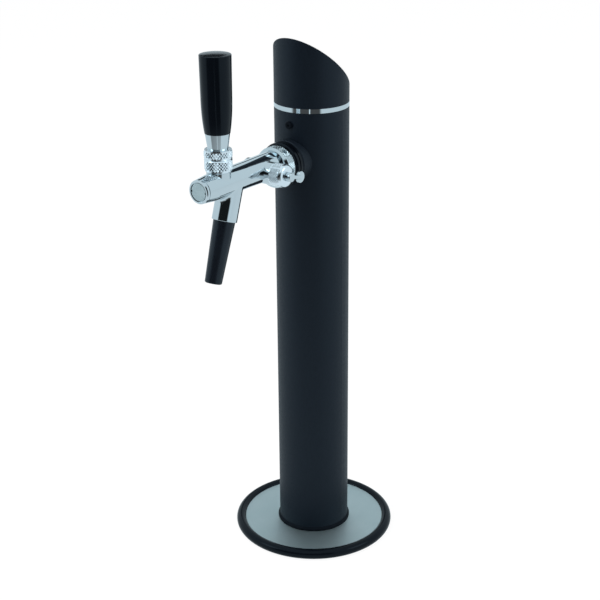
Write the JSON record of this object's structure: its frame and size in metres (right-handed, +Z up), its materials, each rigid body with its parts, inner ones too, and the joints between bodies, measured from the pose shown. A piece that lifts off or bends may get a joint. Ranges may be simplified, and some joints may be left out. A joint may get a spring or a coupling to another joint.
{
  "type": "beer tower",
  "caption": "Round black column tower with a slanted top on a disc base, carrying a chrome flow-control beer tap with a black tilting handle and a black spout nozzle.",
  "frame": {"origin": "column axis at the counter surface, where the riser pipe comes up through the counter", "axes": "+Z up along the column, -Y towards the drinker's side where the tap points, +X to the right seen from that side, where the flow lever is"},
  "size_m": [0.174, 0.2655, 0.5575],
  "materials": {
    "powder_black": "satin powder coat with a fine grain",
    "black_fitting": "matte",
    "gloss_black": "gloss",
    "black_rubber": "matte",
    "brushed_plate": "brushed",
    "polished_chrome": "polished",
    "knurled_chrome": "knurled",
    "plain_steel": "machined",
    "cast_aluminium": "as cast",
    "line_brass": "machined",
    "grey_plug": "matte",
    "white_plastic": "matte",
    "foam": "matte"
  },
  "bodies": {
    "stand": {"base_gasket": "black_rubber", "base_plate": "brushed_plate", "base_edge_ring": "black_rubber", "base_screws": "plain_steel", "foot_flange": "cast_aluminium", "column_foot_seal": "black_rubber", "column_tube": "powder_black", "trim_ring": "polished_chrome", "slanted_cap": "powder_black", "cap_lock_screw": "gloss_black", "shank_saddle": "black_fitting", "shank_collar": "gloss_black", "shank": "plain_steel", "inner_saddle_washer": "white_plastic", "shank_lock_nut": "line_brass", "tail_seal": "black_rubber", "tail_elbow": "plain_steel", "tail_union_nut": "line_brass", "riser_pipe": "plain_steel", "pipe_guide": "white_plastic", "insulation_sleeve": "foam", "coupling_nut": "knurled_chrome", "shank_seal": "black_rubber", "tap_body": "polished_chrome", "front_plug": "grey_plug", "plug_o_ring": "black_rubber", "ball_seat": "white_plastic", "lever_bonnet": "knurled_chrome", "nozzle": "black_fitting", "nozzle_o_ring": "black_rubber", "flow_gland_nut": "knurled_chrome"},
    "handle": {"lever": "plain_steel", "lever_collar": "knurled_chrome", "handle_ferrule": "polished_chrome", "handle_grip": "gloss_black"},
    "valve_piston": {"piston": "plain_steel", "piston_o_rings": "black_rubber", "valve_seal": "black_rubber", "valve_seal_nut": "plain_steel"},
    "flow_control": {"flow_spindle": "plain_steel", "spindle_o_ring": "black_rubber", "flow_lever": "polished_chrome"},
    "throttle": {"flow_cone": "white_plastic"}
  },
  "joints": [
    {"name": "lever_tilt", "type": "hinge", "parent": "stand", "child": "handle", "pos_m": [0, -0.1483, 0.4493], "axis": [1, 0, 0], "range_deg": [0, 26]},
    {"name": "piston_slide", "type": "slide", "parent": "stand", "child": "valve_piston", "axis": [0, 1, 0], "range_m": [0, 0.007]},
    {"name": "flow_lever_turn", "type": "hinge", "parent": "stand", "child": "flow_control", "pos_m": [0.03, -0.086, 0.4314], "axis": [1, 0, 0], "range_deg": [-90, 90]},
    {"name": "cone_slide", "type": "slide", "parent": "stand", "child": "throttle", "axis": [0, -1, 0], "range_m": [-0.0031, 0.0031]}
  ],
  "couplings": [
    {"joint": "piston_slide", "follows": "lever_tilt", "m_per_rad": 0.015263},
    {"joint": "cone_slide", "follows": "flow_lever_turn", "m_per_rad": 0.00191}
  ]
}
